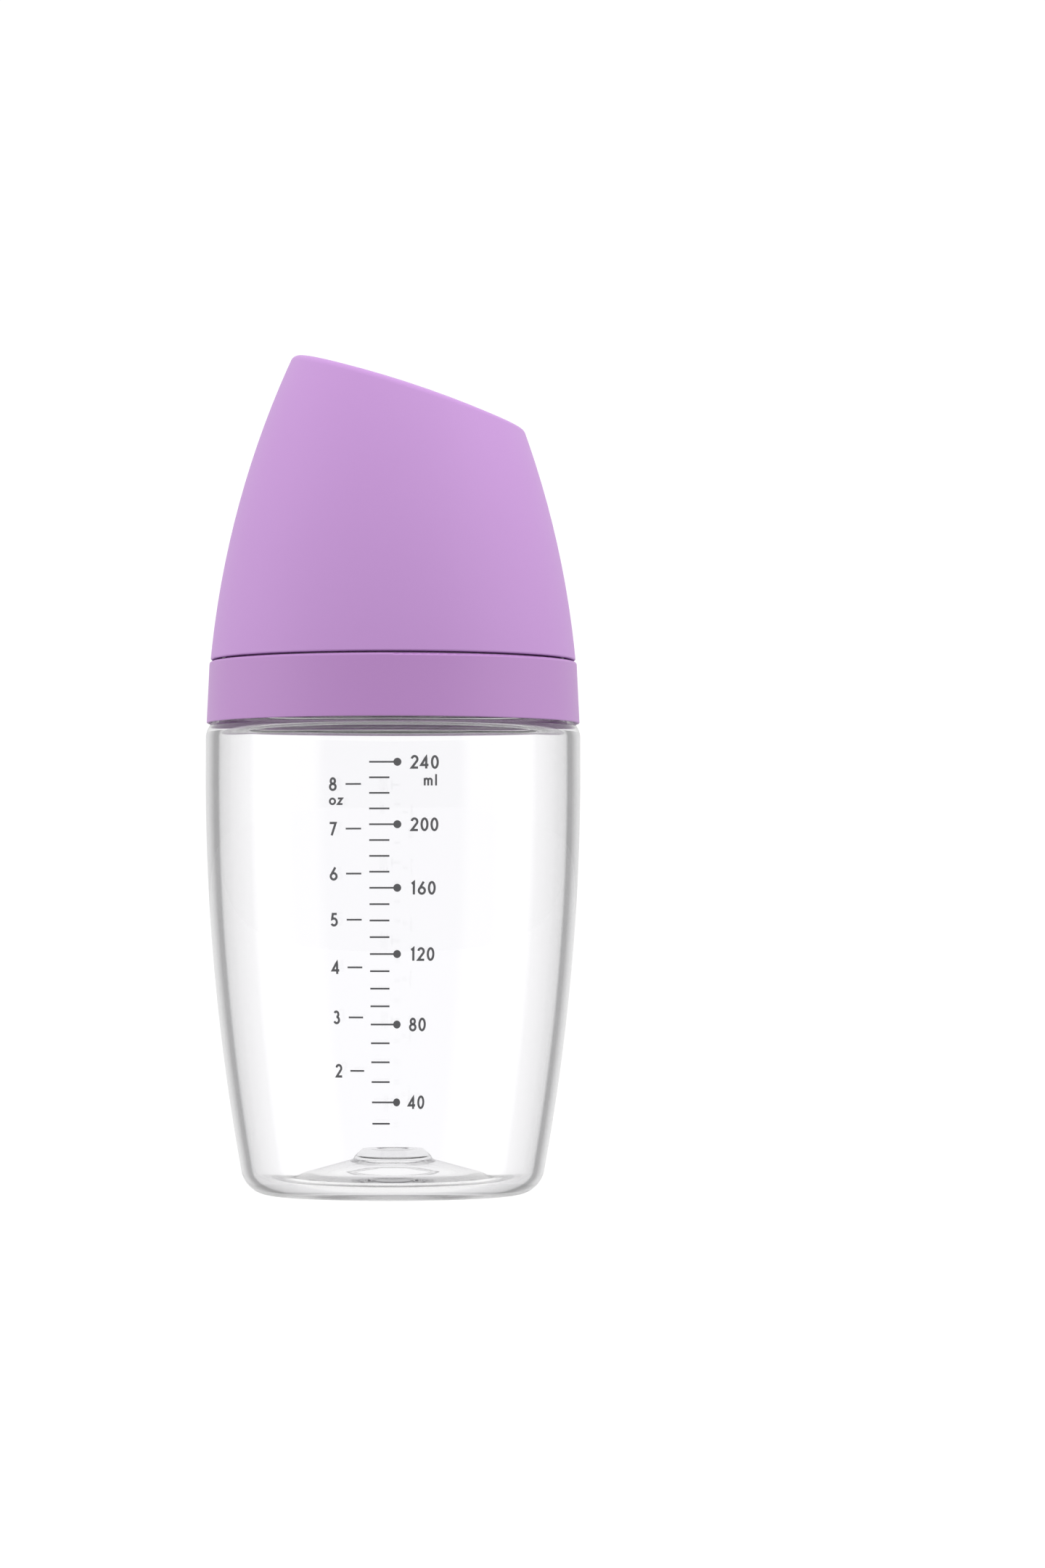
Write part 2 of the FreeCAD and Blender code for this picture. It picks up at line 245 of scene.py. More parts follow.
def bottle_outline():
    lean = (BODY_WIDEST_Z - SIDE_LOW_Z) / BODY_ARC
    outside = side_run(SIDE_LOW_Z, SIDE_TOP_Z, BODY_R, BODY_ARC)
    inside = side_run(SIDE_LOW_Z, SIDE_TOP_Z - WALL, BODY_R - WALL, BODY_ARC)
    neck_in = NECK_R - NECK_WALL
    ceiling = SHOULDER_Z - WALL
    hub_under_z = DOME_TOP_Z - FLOOR_T
    under = rounded([
        (0, RECESS_Z, 0), (RECESS_R, RECESS_Z, EDGE), (RECESS_R, hub_under_z, EDGE),
        (HUB_R, hub_under_z, STAND_ROUND), (STAND_INNER_R, 0, STAND_ROUND),
        (outside[0].x - lean * SIDE_LOW_Z, 0, BASE_ROUND), (*outside[0], 0)])
    top = rounded([
        (*outside[-1], 0), (BODY_R, SHOULDER_Z, SHOULDER_ROUND), (NECK_R, SHOULDER_Z, NECK_FOOT_ROUND),
        (NECK_R, RIM_Z, RIM_ROUND), (neck_in, RIM_Z, RIM_ROUND), (neck_in, ceiling, MOUTH_ROUND),
        (BODY_R - WALL, ceiling, SHOULDER_ROUND - WALL), (*inside[-1], 0)])
    floor = rounded([
        (*inside[0], 0), (inside[0].x - lean * (SIDE_LOW_Z - FLOOR_T), FLOOR_T, CORNER_ROUND),
        (DOME_FOOT_R, FLOOR_T, DOME_FOOT_ROUND), (*DOME_HAUNCH, HAUNCH_ROUND),
        (HUB_R, DOME_TOP_Z, SOFT_EDGE), (*HUB_SHOULDER, EDGE),
        (HUB_TOP_R, HUB_TOP_Z, SOFT_EDGE), (DIMPLE_R, HUB_TOP_Z, 0)])
    ball = (DIMPLE_R ** 2 + DIMPLE_DEPTH ** 2) / (2 * DIMPLE_DEPTH)
    dimple = [Vector((r, HUB_TOP_Z - DIMPLE_DEPTH + ball - math.sqrt(ball ** 2 - r ** 2)))
              for r in [DIMPLE_R * (1 - n / 8) for n in range(1, 9)]]
    run = under[:-1] + outside + top[1:] + inside[::-1][1:] + floor[1:] + dimple
    return split(run, OUTLINE_STEP)


def fine_neck(outline):
    """Closer rings up the outside of the neck, so that the thread has a clean edge."""
    made = [outline[0]]
    for a, b in zip(outline, outline[1:]):
        on_neck = abs(a.x - NECK_R) < 1e-4 and abs(b.x - NECK_R) < 1e-4
        steps = max(1, math.ceil((b - a).length / NECK_STEP)) if on_neck else 1
        made += [a.lerp(b, n / steps) for n in range(1, steps + 1)]
    return made


# --- nipple --------------------------------------------------------------------------
def inset(points, depth):
    """The same run of (r, z) points, moved inwards at right angles to the run."""
    moved = []
    for n, (r, z) in enumerate(points):
        before = points[max(n - 1, 0)]
        after = points[min(n + 1, len(points) - 1)]
        run = math.hypot(after[0] - before[0], after[1] - before[1])
        moved.append((r + depth * (after[1] - before[1]) / run, z - depth * (after[0] - before[0]) / run))
    return moved


def smooth_run(points, per_span=10):
    """A smooth curve through the points, straight down at both ends."""
    chord = [0.0]
    for a, b in zip(points, points[1:]):
        chord.append(chord[-1] + math.dist(a, b))
    t = np.array(chord)
    made = []
    for axis in (0, 1):
        y = np.array([p[axis] for p in points])
        ends = (0.0, 0.0) if axis == 0 else (-1.0, -1.0)
        n = len(t)
        grid = np.zeros((n, n))
        right = np.zeros(n)
        grid[0, 0] = grid[-1, -1] = 1
        right[0], right[-1] = ends
        for i in range(1, n - 1):
            h0, h1 = t[i] - t[i - 1], t[i + 1] - t[i]
            grid[i, i - 1], grid[i, i], grid[i, i + 1] = h1, 2 * (h0 + h1), h0
            right[i] = 3 * (h1 * (y[i] - y[i - 1]) / h0 + h0 * (y[i + 1] - y[i]) / h1)
        slope = np.linalg.solve(grid, right)
        line = []
        for i in range(n - 1):
            h = t[i + 1] - t[i]
            for s in np.linspace(0, 1, per_span, endpoint=False):
                a = (1 + 2 * s) * (1 - s) ** 2
                b = s * (1 - s) ** 2 * h
                c = s * s * (3 - 2 * s)
                d = s * s * (s - 1) * h
                line.append(a * y[i] + b * slope[i] + c * y[i + 1] + d * slope[i + 1])
        line.append(y[-1])
        made.append(line)
    return [Vector(p) for p in zip(*made)]


def teat_run(depth):
    """From the middle of the tip over the teat's side and down the skirt to its widest ring."""
    above = [(TEAT_R, TEAT_Z + FLARE_RUN_ON), (TEAT_R, TEAT_Z)]
    below = [(SKIRT_R, SKIRT_Z), (SKIRT_R, SKIRT_Z - FLARE_RUN_ON)]
    side = smooth_run(inset(above + FLARE + below, depth)[1:-1])
    radius, low = side[0]
    flat = TIP_FLAT_R * radius / TEAT_R
    rise = TIP_Z - depth - low
    quarter = [math.pi / 2 * n / 14 for n in range(14, 0, -1)]
    cap = [Vector((flat + (radius - flat) * math.cos(a), low + rise * math.sin(a))) for a in quarter]
    return cap + side


THIN_WALL = [p for p in teat_run(TEAT_WALL) if p.y > CLEAR_ABOVE_Z + WALL_STEP[1]]


def nipple_foot(start):
    """From the skirt's widest ring round its foot, the groove, the flange and the spigot to the inside."""
    low = FLANGE_TOP_Z - FLANGE_T
    spigot_in = SPIGOT_R - SPIGOT_T
    groove_in = NIPPLE_GROOVE_R - SKIRT_WALL
    return rounded([
        (*start, 0), (SKIRT_R - SKIRT_FOOT_IN, SKIRT_FOOT_Z + SKIRT_FOOT_UP, SKIRT_FOOT_ROUND),
        (NIPPLE_GROOVE_R, SKIRT_FOOT_Z - 0.1, EDGE), (NIPPLE_GROOVE_R, GROOVE_LOW_Z, SOFT_EDGE),
        (FLANGE_INNER_R, FLANGE_TOP_Z, FLANGE_EDGE), (FLANGE_R, FLANGE_TOP_Z, SOFT_EDGE),
        (FLANGE_R, low, SOFT_EDGE), (SPIGOT_R, low, EDGE), (SPIGOT_R, SPIGOT_Z, SOFT_EDGE),
        (spigot_in, SPIGOT_Z, SOFT_EDGE), (spigot_in, low + 1, INSIDE_ROUND),
        (groove_in, GROOVE_LOW_Z + 0.6, 1.0), (groove_in, SKIRT_FOOT_Z, INSIDE_ROUND),
        (SKIRT_R - SKIRT_WALL, SKIRT_Z, 0)])


def nipple_outline():
    outer = teat_run(0)
    hole = [Vector((FEED_HOLE_R, TIP_Z - TEAT_WALL)), Vector((FEED_HOLE_R, TIP_Z - HOLE_FLARE[1])),
            Vector((FEED_HOLE_R + HOLE_FLARE[0], TIP_Z))]
    thick = [p for p in teat_run(SKIRT_WALL) if p.y < CLEAR_ABOVE_Z + WALL_STEP[0]]
    inner = thick[::-1] + THIN_WALL[::-1]
    return hole + outer + nipple_foot(outer[-1])[1:-1] + inner + [hole[0]]


def teat_inner_radius(point):
    """The point's radius if it is on the inner wall of the teat, otherwise None."""
    if not CLEAR_ABOVE_Z < point.y < TIP_Z - TEAT_WALL - 1:
        return None
    return point.x if any((point - p).length < 1e-5 for p in THIN_WALL) else None


def nipple_radius(point, angle):
    """Inside of the teat with its ribs, long and short ones in turn."""
    inner = teat_inner_radius(point)
    if inner is None:
        return point.x
    step = 2 * math.pi / RIB_COUNT
    n = round(angle / step)
    low, high = SHORT_RIB if n % 2 else LONG_RIB
    across = abs(angle - n * step) * point.x / (RIB_WIDTH / 2)
    ends = min(point.y - low, high - point.y) / RIB_END
    edge = max(0.0, min(1.0, (1 + RIB_FLANK - across) / RIB_FLANK, ends))
    return point.x - RIB_HEIGHT * edge * edge * (3 - 2 * edge)


# --- materials -------------------------------------------------------------------------
CLOUD_SCALE = 38.0        # patches of slightly uneven colour, per metre
MATTE_GRAIN = 5200.0      # grains per metre of a matte surface ...
GLOSS_GRAIN = 900.0       # ... and of a glossy one
GRAIN_DEPTH = 0.00006     # metres


def srgb(*levels):
    """0-255 display levels as a linear colour."""
    linear = [v / 255 / 12.92 if v <= 10 else ((v / 255 + 0.055) / 1.055) ** 2.4 for v in levels]
    return (*linear, 1)


def new_material(name, **values):
    made = bpy.data.materials.new(name)
    made.use_nodes = True
    shader = made.node_tree.nodes["Principled BSDF"]
    for socket, value in values.items():
        shader.inputs[socket.replace("_", " ")].default_value = value
    return made, made.node_tree, shader


def link(tree, a, out, b, into):
    tree.links.new(a.outputs[out], b.inputs[into])


def noise(tree, scale, detail=3.0, roughness=0.6):
    place = tree.nodes.new("ShaderNodeTexCoord")
    made = tree.nodes.new("ShaderNodeTexNoise")
    made.inputs["Scale"].default_value = scale
    made.inputs["Detail"].default_value = detail
    made.inputs["Roughness"].default_value = roughness
    link(tree, place, "Object", made, "Vector")
    return made


def map_range(tree, source, out, **values):
    made = tree.nodes.new("ShaderNodeMapRange")
    for socket, value in values.items():
        made.inputs[socket.replace("_", " ")].default_value = value
    link(tree, source, out, made, "Value")
    return made


def spread(tree, source, out, low, high):
    """A 0-1 value spread between two numbers."""
    return map_range(tree, source, out, To_Min=low, To_Max=high)


def bump(tree, shader, height, out, strength, distance):
    made = tree.nodes.new("ShaderNodeBump")
    made.inputs["Strength"].default_value = strength
    made.inputs["Distance"].default_value = distance
    link(tree, height, out, made, "Height")
    link(tree, made, "Normal", shader, "Normal")


def moulded(name, colour, deep, roughness, uneven, grain_scale, grain, shine):
    """Moulded plastic: fine spark-eroded grain, slightly uneven colour and gloss."""
    made, tree, shader = new_material(name, IOR=1.49, Specular_IOR_Level=shine)
    cloud = noise(tree, CLOUD_SCALE, 2.0)
    tint = tree.nodes.new("ShaderNodeMix")
    tint.data_type = "RGBA"
    tint.inputs["A"].default_value = deep
    tint.inputs["B"].default_value = colour
    link(tree, cloud, "Fac", tint, "Factor")
    link(tree, tint, "Result", shader, "Base Color")
    fine = noise(tree, grain_scale, 4.0, 0.7)
    gloss = spread(tree, fine, "Fac", roughness - uneven, roughness + uneven)
    link(tree, gloss, "Result", shader, "Roughness")
    bump(tree, shader, fine, "Fac", grain, GRAIN_DEPTH)
    return made


def ramp(tree, source, out, stops):
    """A colour ramp through (position, grey level) stops."""
    made = tree.nodes.new("ShaderNodeValToRGB")
    elements = made.color_ramp.elements
    while len(elements) < len(stops):
        elements.new(0.5)
    for element, (place, level) in zip(elements, stops):
        element.position = place
        element.color = (level, level * SHADE_GREEN, min(1, level * SHADE_BLUE), 1)
    link(tree, source, out, made, "Fac")
    return made


# Painted shade on the bottle's wall and the teat's side: a grey laid on how much light they pass, against
# how far they turn away: 0 faces the eye, 1 is edge on.
WALL_SHADE = [(0.0, 0.93), (0.065, 0.93), (0.093, 1.0), (0.315, 1.0), (0.34, 0.90), (0.36, 0.81),
              (0.40, 0.765), (0.44, 0.72), (0.49, 0.67), (0.52, 0.617), (0.58, 0.56), (0.612, 0.49),
              (0.645, 0.12), (0.70, 0.11), (0.76, 0.30), (0.83, 0.53), (1.0, 0.8)]
SHADE_FROM_Z = 1.2        # the barrel's painted shade starts here, above the etched stand ring ...
SHADE_TO_Z = 88.0         # ... and ends here
SHADE_GREEN = 0.995       # the painted shade is very slightly blue
SHADE_BLUE = 1.02
STAND_ROUGHNESS = 0.25    # the ring that the bottle stands on is etched
# Painted shade on the clear teat's side, by how far it turns away.
TEAT_SHADE = [(0.0, 1.0), (0.22, 1.0), (0.30, 0.68), (0.60, 0.52), (0.85, 0.6), (1.0, 0.8)]


# Painted shade: a grey base colour by how far the surface turns away from the eye.
def shade_by_facing(tree, shader, stops):
    facing = tree.nodes.new("ShaderNodeLayerWeight")
    shade = ramp(tree, facing, "Facing", stops)
    link(tree, shade, "Color", shader, "Base Color")


def clear_plastic(name, shaded=False, roughness=0.0):
    made, tree, shader = new_material(
        name, Base_Color=(1, 1, 1, 1), Roughness=roughness, IOR=1.5, Transmission_Weight=1.0)
    if shaded:
        shade_by_facing(tree, shader, WALL_SHADE)
    return made


def clear_silicone():
    made, tree, shader = new_material("silicone_clear", IOR=1.41, Roughness=0.1, Transmission_Weight=1.0)
    shade_by_facing(tree, shader, TEAT_SHADE)
    return made


def frosted_silicone():
    return new_material(
        "silicone_frosted", Base_Color=(0.965, 0.975, 0.99, 1), IOR=1.41, Roughness=0.5,
        Transmission_Weight=0.3, Subsurface_Weight=0.6, Subsurface_Radius=(1.0, 1.0, 1.0),
        Subsurface_Scale=0.003)[0]


def ink():
    return new_material("ink", Roughness=0.5, Base_Color=srgb(84, 84, 87))[0]


# --- printed scale ------------------------------------------------------------------------
INK_LOW = 0.015           # the ink lies this far off the wall ...
INK_HIGH = 0.05           # ... up to this
LINE_W = 0.33
DIGIT_H = 2.45
SMALL_H = 2.1
STROKE = 0.175            # stroke weight of a digit of height 1
LETTER_GAP = 0.14         # space between letters of height 1
STROKE_STEP = 0.4         # longest straight run of a stroke, so that it follows the wall
SHARPEST_TURN = 0.45      # a stroke's corners are cut off where they would stick out further
SCALE_DROP = 0.65         # the marks sit this much lower than over a level floor
TICK_FROM = -3.45
TICK_TO = 0.3
DOT_AT = 1.75
DOT_R = 0.74
ML_AT = 4.2
ML_UNIT_AT = 6.6
ML_UNIT_DROP = 3.1        # the unit stands this far under the topmost number
OZ_AT = -11.0
OZ_UNIT_DROP = 2.6
OZ_DASH = (-7.85, -4.95)
OZ_ML = 28.41             # millilitres in a fluid ounce
OZ_DROP = 0.45            # the ounce column sits this much lower than the millilitre one


def curve(x, y, rx, ry, start, end, count=18):
    """Part of an ellipse, angles in degrees."""
    angles = [math.radians(start + (end - start) * n / count) for n in range(count + 1)]
    return [(x + rx * math.cos(a), y + ry * math.sin(a)) for a in angles]


GLYPHS = {
    "0": (0.62, [curve(0.31, 0.5, 0.22, 0.43, 0, 360, 32)]),
    "1": (0.44, [[(0.10, 0.80), (0.27, 0.93), (0.27, 0.0)]]),
    "2": (0.60, [curve(0.29, 0.70, 0.21, 0.23, 170, -35) + [(0.08, 0.07), (0.55, 0.07)]]),
    "3": (0.56, [curve(0.25, 0.73, 0.17, 0.20, 150, -90), curve(0.25, 0.30, 0.21, 0.235, 90, -155)]),
    "4": (0.64, [[(0.60, 0.27), (0.05, 0.27), (0.43, 0.90), (0.43, 0.0)]]),
    "5": (0.60, [[(0.50, 0.93), (0.18, 0.93), (0.12, 0.55)] + curve(0.26, 0.33, 0.23, 0.26, 110, -150)]),
    "6": (0.62, [curve(0.30, 0.30, 0.23, 0.235, 0, 360, 32), [(0.44, 0.97), (0.11, 0.42)]]),
    "7": (0.56, [[(0.03, 0.93), (0.50, 0.93), (0.18, 0.0)]]),
    "8": (0.60, [curve(0.29, 0.73, 0.165, 0.20, 0, 360, 32), curve(0.29, 0.29, 0.22, 0.225, 0, 360, 32)]),
    "m": (0.86, [[(0.09, 0.0), (0.09, 0.66)], curve(0.245, 0.43, 0.155, 0.17, 180, 0) + [(0.40, 0.0)],
                 curve(0.555, 0.43, 0.155, 0.17, 180, 0) + [(0.71, 0.0)]]),
    "l": (0.24, [[(0.10, 0.0), (0.10, 1.0)]]),
    "o": (0.62, [curve(0.30, 0.31, 0.24, 0.245, 0, 360, 32)]),
    "z": (0.50, [[(0.04, 0.56), (0.42, 0.56), (0.05, 0.07), (0.46, 0.07)]]),
}


def inner_area(z):
    return math.pi * bulge(z, BODY_R - WALL, BODY_WIDEST_Z, BODY_ARC) ** 2


def fill_heights(volumes, step=0.05):
    """Height of the liquid, in millimetres, for each volume in millilitres."""
    heights, filled, z = [], 0.0, FLOOR_T - SCALE_DROP
    for volume in sorted(volumes):
        while filled < volume * 1000:
            filled += inner_area(z) * step
            z += step
        heights.append(z)
    return heights


def on_wall(u, z, lift):
    """A print place, u millimetres round the widest ring from the front, on the bottle's outside."""
    angle = u / BODY_R
    lean = math.atan((BODY_WIDEST_Z - z) / BODY_ARC)
    r = bulge(z, BODY_R, BODY_WIDEST_Z, BODY_ARC) + lift * math.cos(lean)
    return (r * math.sin(angle) * MM, -r * math.cos(angle) * MM, (z - lift * math.sin(lean)) * MM)


def add_slab(mesh, outline_pairs, closed):
    """A thin closed slab between two edge lines, wrapped on the wall."""
    rows = []
    for left, right in outline_pairs:
        rows.append([mesh.verts.new(on_wall(*left, INK_HIGH)), mesh.verts.new(on_wall(*right, INK_HIGH)),
                     mesh.verts.new(on_wall(*right, INK_LOW)), mesh.verts.new(on_wall(*left, INK_LOW))])
    ends = len(rows) if closed else len(rows) - 1
    for n in range(ends):
        a, b = rows[n], rows[(n + 1) % len(rows)]
        for k in range(4):
            mesh.faces.new((a[k], a[(k + 1) % 4], b[(k + 1) % 4], b[k]))
    if not closed:
        mesh.faces.new(rows[0])
        mesh.faces.new(rows[-1][::-1])


def add_stroke(mesh, points, width):
    """A flat pen stroke along (u, z) points."""
    closed = math.dist(points[0], points[-1]) < 1e-6
    points = [Vector(p) for p in (points[:-1] if closed else points)]
    if not closed:
        points = split(points, STROKE_STEP)
    pairs = []
    for n, p in enumerate(points):
        before = points[n - 1] if n or closed else p
        after = points[(n + 1) % len(points)] if n < len(points) - 1 or closed else p
        ahead = (after - p).normalized() if after != p else (p - before).normalized()
        back = (p - before).normalized() if before != p else ahead
        across = (ahead + back).normalized()
        side = Vector((-across.y, across.x)) * (width / 2 / max(SHARPEST_TURN, across.dot(ahead)))
        pairs.append((p + side, p - side))
    add_slab(mesh, pairs, closed)


def add_dot(mesh, u, z, radius, count=28):
    rims = []
    for lift in (INK_HIGH, INK_LOW):
        rims.append([mesh.verts.new(on_wall(u + radius * math.cos(2 * math.pi * n / count),
                                            z + radius * math.sin(2 * math.pi * n / count), lift))
                     for n in range(count)])
    mesh.faces.new(rims[0])
    mesh.faces.new(rims[1][::-1])
    for n in range(count):
        m = (n + 1) % count
        mesh.faces.new((rims[0][n], rims[1][n], rims[1][m], rims[0][m]))


def add_text(mesh, text, u, z, height):
    for letter in text:
        advance, strokes = GLYPHS[letter]
        for stroke in strokes:
            add_stroke(mesh, [(u + x * height, z + y * height) for x, y in stroke], STROKE * height)
        u += (advance + LETTER_GAP) * height


def print_piece(name, draw):
    mesh = bmesh.new()
    draw(mesh)
    bmesh.ops.recalc_face_normals(mesh, faces=mesh.faces)
    data = bpy.data.meshes.new(name)
    mesh.to_mesh(data)
    mesh.free()
    piece = bpy.data.objects.new(name, data)
    bpy.context.scene.collection.objects.link(piece)
    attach(piece, "bottle")
    return piece


def draw_ml(mesh):
    volumes = range(30, 241, 10)
    for volume, z in zip(volumes, fill_heights(volumes)):
        labelled = volume % 40 == 0
        add_stroke(mesh, [(TICK_FROM, z), (DOT_AT if labelled else TICK_TO, z)], LINE_W)
        if labelled:
            add_dot(mesh, DOT_AT, z, DOT_R)
            add_text(mesh, str(volume), ML_AT, z - DIGIT_H / 2, DIGIT_H)
    add_text(mesh, "ml", ML_UNIT_AT, z - DIGIT_H / 2 - ML_UNIT_DROP, SMALL_H)


def draw_oz(mesh):
    ounces = range(2, 9)
    for count, level in zip(ounces, fill_heights([n * OZ_ML for n in ounces])):
        z = level - OZ_DROP
        add_stroke(mesh, [(OZ_DASH[0], z), (OZ_DASH[1], z)], LINE_W)
        add_text(mesh, str(count), OZ_AT, z - DIGIT_H / 2, DIGIT_H)
    add_text(mesh, "oz", OZ_AT, z - DIGIT_H / 2 - OZ_UNIT_DROP, SMALL_H)


# --- pieces -----------------------------------------------------------------------------
def dress(piece, material):
    piece.data.materials.clear()
    piece.data.materials.append(material)


def is_barrel(face):
    """True for a face on the bottle's outside, from the rounding of the base to that of the shoulder: it
    gets the painted shade.
    """
    z = face.center.z / MM
    r = math.hypot(face.center.x, face.center.y) / MM
    if z > SHADE_TO_Z or z < SHADE_FROM_Z:
        return False
    return r > bulge(z, BODY_R, BODY_WIDEST_Z, BODY_ARC) - WALL / 2 or (z < FLOOR_T and r > STAND_INNER_R)


def build_bottle():
    piece = lathe("bottle_clear", fine_neck(bottle_outline()), thread_radius)
    # The outside of the barrel gets the painted shade by facing; the rest stays plain clear.
    dress(piece, clear_plastic("clear_plastic", shaded=True))
    piece.data.materials.append(clear_plastic("clear_plastic_inside"))
    piece.data.materials.append(clear_plastic("clear_plastic_stand", roughness=STAND_ROUGHNESS))
    for face in piece.data.polygons:
        radius = math.hypot(face.center.x, face.center.y)
        stands = face.center.z < SHADE_FROM_Z * MM and radius > (STAND_INNER_R - STAND_ROUND) * MM
        face.material_index = 0 if is_barrel(face) else 2 if stands else 1
    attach(piece, "bottle")
    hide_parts("bottle_body")


def build_nipple():
    piece = lathe("nipple_silicone", nipple_outline(), nipple_radius)
    dress(piece, frosted_silicone())
    piece.data.materials.append(clear_silicone())
    for face in piece.data.polygons:
        face.material_index = 1 if face.center.z > CLEAR_ABOVE_Z * MM else 0
    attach(piece, "nipple")
    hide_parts("nipple")


def build_print():
    dark = ink()
    for name, draw in (("scale_ml", draw_ml), ("scale_oz", draw_oz)):
        dress(print_piece(name, draw), dark)


def dress_plastics():
    matte = moulded("cap_matte", srgb(186, 140, 201), srgb(184, 137, 199), roughness=0.50, uneven=0.06,
                    grain_scale=MATTE_GRAIN, grain=0.35, shine=0.5)
    band = moulded("sleeve_matte", srgb(178, 128, 191), srgb(175, 125, 189), roughness=0.42, uneven=0.06,
                   grain_scale=MATTE_GRAIN, grain=0.35, shine=0.75)
    gloss = moulded("ring_gloss", srgb(180, 132, 191), srgb(178, 130, 189), roughness=0.11, uneven=0.02,
                    grain_scale=GLOSS_GRAIN, grain=0.05, shine=0.9)
    for name, material in (("cap", matte), ("collar_sleeve", band), ("nipple_ring", gloss)):
        dress(nodes[name], material)


# --- stage -------------------------------------------------------------------------------
CAMERA_AT = Vector((0.0247, -0.894, 0.0531))
CAMERA_PITCH = math.radians(1.6)
LENS = 107.5
FRONT_EDGE = (-0.75, -0.65)   # how far round from the front the dim part reaches
HIGH_EDGE = (0.25, 0.6)       # and how far up
BACK_EDGE = (0.2, 0.5)        # the same for the slightly dim part behind
LOW_EDGE = -0.15              # and how far down the light falls off
BACK_LIGHT = 0.85
FRONT_LIGHT = 0.5
SIDE_LIGHT = 1.15
LOW_LIGHT = 0.5
SEEN_LIGHT = 1.05         # what the camera sees directly or through clear plastic ...
MIRRORED_LIGHT = 0.55     # ... and after this many reflections on the way
MIRRORED_TIMES = 4
SOFT_GAIN = 1.25          # matte surfaces get this much more than mirrors show
FLOOR_HALF = 6.0          # metres from the middle of the floor to its edge
FLOOR_Z = -0.0001         # just under the bottle, so that the faces don't coincide


def area_light(name, place, aim, size, power):
    light = bpy.data.lights.new(name, "AREA")
    light.shape = "RECTANGLE"
    light.size, light.size_y = size
    light.energy = power
    lamp = bpy.data.objects.new(name, light)
    lamp.location = place
    lamp.visible_camera = False
    lamp.visible_transmission = False
    lamp.visible_glossy = False
    lamp.rotation_euler = (Vector(aim) - Vector(place)).to_track_quat("-Z", "Y").to_euler()
    bpy.context.scene.collection.objects.link(lamp)


def combine(tree, operation, a, a_out, b, b_out):
    made = tree.nodes.new("ShaderNodeMath")
    made.operation = operation
    link(tree, a, a_out, made, 0)
    link(tree, b, b_out, made, 1)
    return made


def mirrored(tree, ray):
    """Loses some light at each reflection, which shows the facets inside clear plastic."""
    return map_range(tree, ray, "Glossy Depth", From_Max=MIRRORED_TIMES, To_Min=SEEN_LIGHT,
                     To_Max=MIRRORED_LIGHT)


def level_bearing(tree, place):
    """The direction of a ray with its rise taken out, at unit length."""
    level = tree.nodes.new("ShaderNodeVectorMath")
    level.operation = "MULTIPLY"
    level.inputs[1].default_value = (1, 1, 0)
    link(tree, place, "Generated", level, 0)
    around = tree.nodes.new("ShaderNodeVectorMath")
    around.operation = "NORMALIZE"
    link(tree, level, "Vector", around, 0)
    bearing = tree.nodes.new("ShaderNodeSeparateXYZ")
    link(tree, around, "Vector", bearing, "Vector")
    return bearing


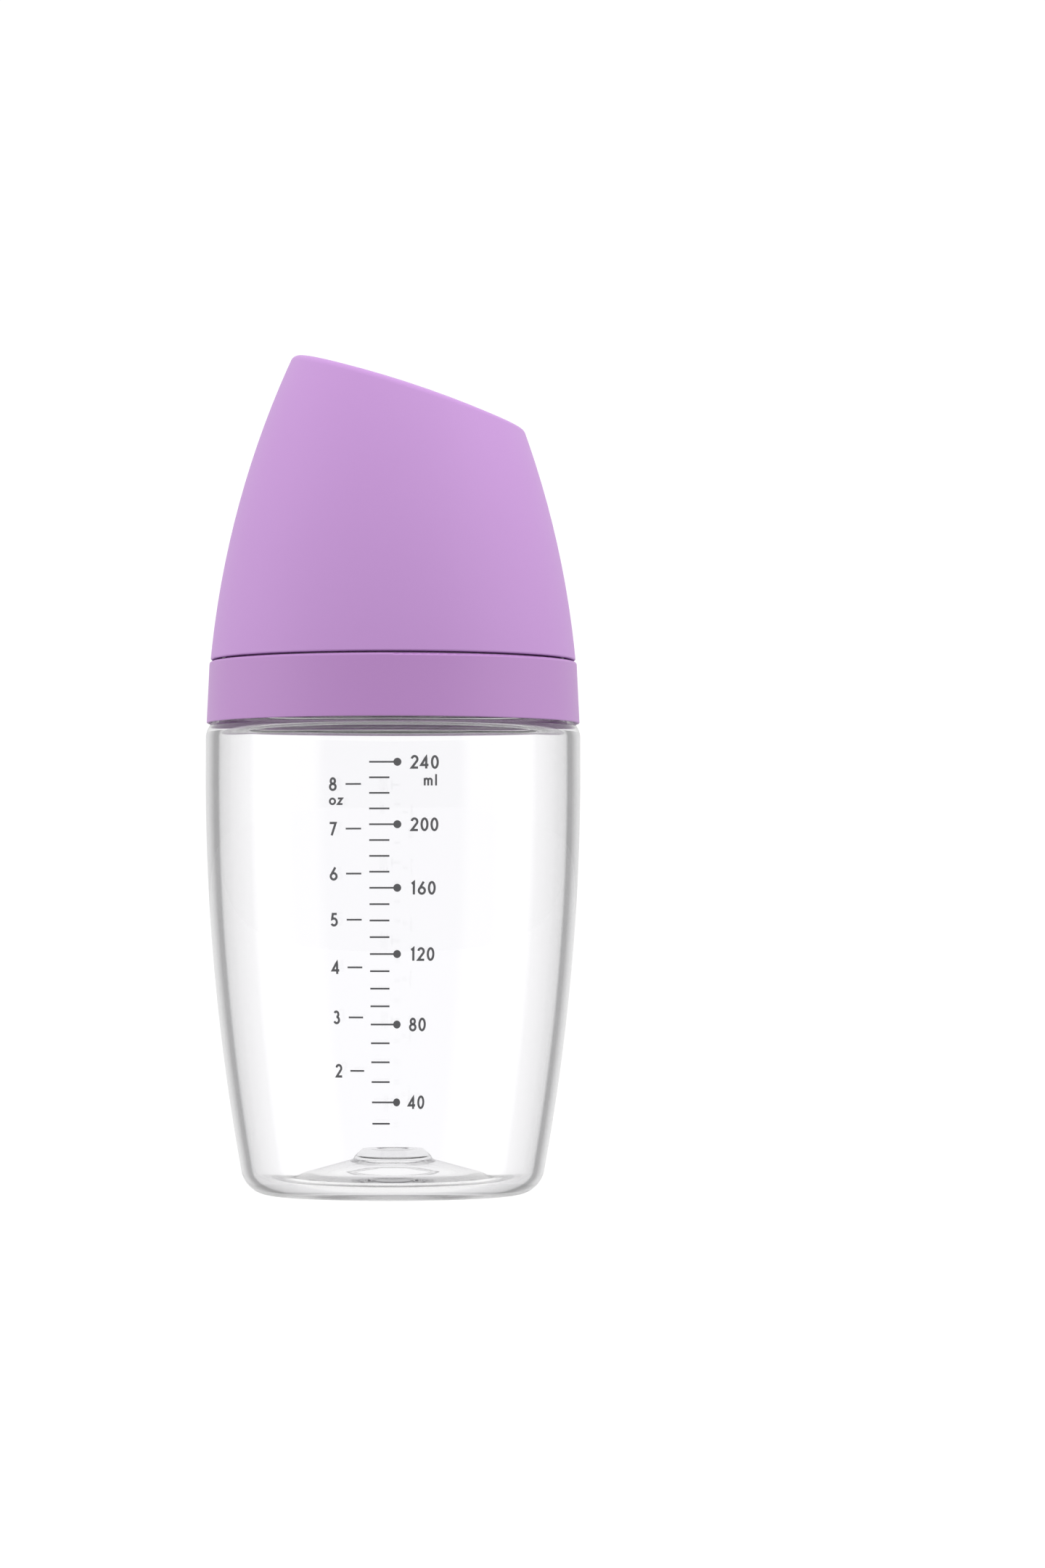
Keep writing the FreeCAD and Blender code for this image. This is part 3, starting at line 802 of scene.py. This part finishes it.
def studio_world():
    """White all round; what lights and reflects is dimmer in front and below, and brighter at the sides."""
    world = bpy.data.worlds.new("studio")
    world.use_nodes = True
    tree = world.node_tree
    place = tree.nodes.new("ShaderNodeTexCoord")
    parts = tree.nodes.new("ShaderNodeSeparateXYZ")
    link(tree, place, "Generated", parts, "Vector")
    bearing = level_bearing(tree, place)
    side = map_range(tree, bearing, "Y", From_Min=FRONT_EDGE[0], From_Max=FRONT_EDGE[1])
    above = map_range(tree, parts, "Z", From_Min=HIGH_EDGE[0], From_Max=HIGH_EDGE[1])
    lit = combine(tree, "MAXIMUM", side, "Result", above, "Result")
    light = spread(tree, lit, "Value", FRONT_LIGHT, SIDE_LIGHT)
    behind = map_range(tree, bearing, "Y", From_Min=BACK_EDGE[0], From_Max=BACK_EDGE[1],
                       To_Max=BACK_LIGHT / SIDE_LIGHT, To_Min=1.0)
    below = map_range(tree, parts, "Z", From_Min=LOW_EDGE, From_Max=0.0, To_Min=LOW_LIGHT)
    level_light = combine(tree, "MULTIPLY", light, "Result", behind, "Result")
    dimmed = combine(tree, "MULTIPLY", level_light, "Value", below, "Result")
    ray = tree.nodes.new("ShaderNodeLightPath")
    seen = combine(tree, "MAXIMUM", ray, "Is Camera Ray", ray, "Is Transmission Ray")
    soft = spread(tree, ray, "Is Diffuse Ray", 1.0, SOFT_GAIN)
    scattered = combine(tree, "MULTIPLY", dimmed, "Value", soft, "Result")
    strength = tree.nodes.new("ShaderNodeMix")
    link(tree, seen, "Value", strength, "Factor")
    link(tree, scattered, "Value", strength, "A")
    link(tree, mirrored(tree, ray), "Result", strength, "B")
    backdrop = tree.nodes["Background"]
    backdrop.inputs["Color"].default_value = (1, 1, 1, 1)
    link(tree, strength, "Result", backdrop, "Strength")
    return world


def build_floor():
    floor_mesh = bpy.data.meshes.new("floor")
    corners = [(x * FLOOR_HALF, y * FLOOR_HALF, FLOOR_Z) for x, y in ((-1, -1), (1, -1), (1, 1), (-1, 1))]
    floor_mesh.from_pydata(corners, [], [(0, 1, 2, 3)])
    floor = bpy.data.objects.new("floor", floor_mesh)
    bpy.context.scene.collection.objects.link(floor)
    pale, tree, shader = new_material("floor_pale", Base_Color=(0.02, 0.02, 0.02, 1), Roughness=0.9,
                                      Specular_IOR_Level=0.0, Emission_Color=(1, 1, 1, 1))
    ray = tree.nodes.new("ShaderNodeLightPath")
    link(tree, mirrored(tree, ray), "Result", shader, "Emission Strength")
    floor.data.materials.append(pale)
    floor.visible_diffuse = False
    floor.visible_shadow = False


def build_stage():
    scene = bpy.context.scene
    scene.view_settings.view_transform = "Standard"
    scene.cycles.max_bounces = 24          # light runs far inside the thick clear base
    scene.cycles.glossy_bounces = 20
    scene.cycles.transmission_bounces = 20
    build_floor()
    scene.world = studio_world()
    area_light("top", (0.05, -0.20, 0.50), (0, 0, 0.14), (0.25, 0.25), 0.275)
    area_light("left", (-0.62, -0.12, 0.10), (0, 0, 0.11), (0.4, 0.5), 0.56)
    area_light("high_right", (0.45, -0.15, 0.55), (0, 0, 0.13), (0.4, 0.4), 0.69)
    camera = bpy.data.objects.new("camera", bpy.data.cameras.new("camera"))
    camera.data.lens = LENS
    camera.location = CAMERA_AT
    camera.rotation_euler = (math.radians(90) + CAMERA_PITCH, 0, 0)
    scene.collection.objects.link(camera)
    scene.camera = camera


build_stage()
build_bottle()
build_nipple()
build_print()
dress_plastics()
